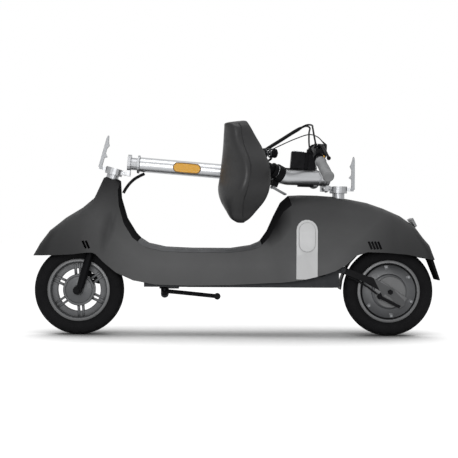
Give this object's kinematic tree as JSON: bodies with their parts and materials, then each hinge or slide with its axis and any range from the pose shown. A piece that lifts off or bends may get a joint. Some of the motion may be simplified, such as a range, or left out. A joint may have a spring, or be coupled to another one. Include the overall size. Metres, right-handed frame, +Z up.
{
  "type": "seated electric scooter",
  "caption": "Folding electric scooter with a seat, stem and seat post folded down over the step-through floor, two air tyres and a rear hub motor.",
  "frame": {"origin": "middle of the bounding box's underside, on the ground between the wheels", "axes": "+X to the rear of the scooter, +Y to the rider's right, +Z up"},
  "size_m": [1.382, 0.6152, 0.7206],
  "materials": {
    "shell": "matt",
    "panel": "matt",
    "mat": "matt",
    "frame_steel": "satin",
    "trim": "satin",
    "plastic": "satin",
    "lens": "gloss",
    "black_metal": "satin",
    "alloy": "satin",
    "bright_steel": "polished",
    "tyre": "matt",
    "wheel": "satin",
    "amber": "gloss",
    "grip": "matt",
    "spring": "satin",
    "saddle": "satin"
  },
  "bodies": {
    "steerer": {"fork_crown_steerer": "black_metal", "stem_hinge_base": "alloy"},
    "stem_latch": {"stem_latch_lever": "alloy"},
    "fork_lower": {"fork_lower_legs": "black_metal", "front_axle": "bright_steel", "front_brake_caliper": "black_metal"},
    "front_wheel": {"front_tyre": "tyre", "front_rim": "wheel", "front_brake_disc": "bright_steel"},
    "stem": {"stem_flange": "alloy", "stem_tube": "alloy", "side_reflector_left": "amber", "side_reflector_right": "amber", "gooseneck": "black_metal", "handlebar": "black_metal", "headlight_housing": "plastic", "headlight_lens": "lens", "grip_left": "grip", "brake_perch_left": "black_metal", "brake_perch_right": "black_metal", "display": "plastic", "brake_cable_left": "plastic", "brake_cable_right": "plastic", "control_lead": "plastic"},
    "throttle": {"throttle_grip": "grip"},
    "rear_brake_lever": {"brake_lever_rear": "black_metal"},
    "front_brake_lever": {"brake_lever_front": "black_metal"},
    "horn": {"horn_button": "amber"},
    "seat_latch": {"seat_latch_lever": "alloy"},
    "seat_post": {"seat_tube": "alloy", "seat_clamp": "alloy"},
    "seat_lever": {"seat_quick_release": "alloy"},
    "saddle": {"saddle_frame": "black_metal", "saddle_spring_left": "spring", "saddle_spring_right": "spring", "saddle_cushion": "saddle"},
    "swing": {"swingarm": "black_metal", "rear_axle": "bright_steel", "rear_brake_cable": "plastic"},
    "shock_slide": {"shock_rod": "bright_steel"},
    "rear_wheel": {"rear_tyre": "tyre", "rear_rim_motor": "wheel"},
    "brake_arm": {"rear_brake_arm": "black_metal"},
    "stand": {"kickstand_leg": "black_metal"},
    "charge_cap": {"charge_port_cap": "trim"},
    "chassis": {"side_cover_left": "shell", "side_cover_right": "shell", "knee_panel": "panel", "floor_mat": "mat", "seat_tower_panel": "panel", "main_frame": "frame_steel", "floor_tray": "frame_steel", "side_trim_left": "trim", "side_trim_right": "trim", "rear_mudflap": "plastic", "tail_light": "lens", "wiring_harness": "plastic", "seat_hinge_base": "alloy", "shock_body": "black_metal", "kickstand_bracket": "frame_steel"}
  },
  "joints": [
    {"name": "steering", "type": "hinge", "parent": "chassis", "child": "steerer", "pos_m": [-0.53261, 0, 0.15169], "axis": [0.2689, 0, 0.9632], "range_deg": [0, 12]},
    {"name": "stem_fold", "type": "hinge", "parent": "steerer", "child": "stem", "pos_m": [-0.38418, 0, 0.54943], "axis": [0, -1, 0], "range_deg": [0, 79]},
    {"name": "stem_latch", "type": "hinge", "parent": "steerer", "child": "stem_latch", "pos_m": [-0.4644, 0, 0.57079], "axis": [0, -1, 0], "range_deg": [-6, 75]},
    {"name": "fork_travel", "type": "slide", "parent": "steerer", "child": "fork_lower", "axis": [0.2689, 0, 0.9632], "range_m": [0, 0.03], "stiffness_N_per_m": 6000, "springref_m": -0.03},
    {"name": "front_wheel_spin", "type": "hinge", "parent": "fork_lower", "child": "front_wheel", "pos_m": [-0.5355, 0, 0.1525], "axis": [0, 1, 0], "continuous": true},
    {"name": "throttle_twist", "type": "hinge", "parent": "stem", "child": "throttle", "pos_m": [0.27196, 0.187, 0.58297], "axis": [-0.1281, -0.8901, 0.4375], "range_deg": [0, 70], "stiffness_Nm_per_rad": 0.3, "springref_deg": -20.05},
    {"name": "rear_brake_pull", "type": "hinge", "parent": "stem", "child": "rear_brake_lever", "pos_m": [0.26979, -0.148, 0.63613], "axis": [0.9968, 0, -0.0802], "range_deg": [0, 8.5], "stiffness_Nm_per_rad": 2, "springref_deg": -9.74},
    {"name": "front_brake_pull", "type": "hinge", "parent": "stem", "child": "front_brake_lever", "pos_m": [0.26979, 0.148, 0.63613], "axis": [-0.9968, 0, 0.0802], "range_deg": [0, 8.5], "stiffness_Nm_per_rad": 2, "springref_deg": -9.74},
    {"name": "horn_press", "type": "slide", "parent": "stem", "child": "horn", "axis": [-0.9968, 0, 0.0802], "range_m": [0, 0.002], "stiffness_N_per_m": 300, "springref_m": -0.002},
    {"name": "seat_fold", "type": "hinge", "parent": "chassis", "child": "seat_post", "pos_m": [0.313, 0, 0.5], "axis": [-0.2506, 0.9351, -0.2506], "range_deg": [0, 94]},
    {"name": "seat_latch", "type": "hinge", "parent": "chassis", "child": "seat_latch", "pos_m": [0.396, 0, 0.499], "axis": [0, 1, 0], "range_deg": [-6, 75]},
    {"name": "seat_lever", "type": "hinge", "parent": "seat_post", "child": "seat_lever", "pos_m": [0.11922, -0.11188, 0.50125], "axis": [-0.5, 0.866, 0], "range_deg": [0, 100]},
    {"name": "saddle_height", "type": "slide", "parent": "seat_post", "child": "saddle", "axis": [-0.7912, -0.4568, 0.4067], "range_m": [0, 0.02]},
    {"name": "swingarm_travel", "type": "hinge", "parent": "chassis", "child": "swing", "pos_m": [0.356, 0, 0.227], "axis": [0, -1, 0], "range_deg": [0, 6], "stiffness_Nm_per_rad": 900, "springref_deg": -9.74},
    {"name": "shock_stroke", "type": "slide", "parent": "chassis", "child": "shock_slide", "axis": [-1, 0, 0], "range_m": [0, 0.0066]},
    {"name": "rear_wheel_spin", "type": "hinge", "parent": "swing", "child": "rear_wheel", "pos_m": [0.5195, 0, 0.1525], "axis": [0, 1, 0], "continuous": true},
    {"name": "rear_brake_cam", "type": "hinge", "parent": "swing", "child": "brake_arm", "pos_m": [0.484, 0, 0.136], "axis": [0, -1, 0], "range_deg": [0, 18]},
    {"name": "kickstand_swing", "type": "hinge", "parent": "chassis", "child": "stand", "pos_m": [-0.241, -0.06, 0.152], "axis": [0, 0.7785, -0.6276], "range_deg": [0, 105]},
    {"name": "charge_cap_open", "type": "hinge", "parent": "chassis", "child": "charge_cap", "pos_m": [0.234, -0.139, 0.288], "axis": [1, 0, 0], "range_deg": [0, 110]}
  ],
  "couplings": [
    {"joint": "seat_fold", "follows": "stem_fold", "ratio": 1.1879},
    {"joint": "shock_stroke", "follows": "swingarm_travel", "m_per_rad": 0.062},
    {"joint": "rear_brake_cam", "follows": "rear_brake_pull", "ratio": 2.1175}
  ]
}
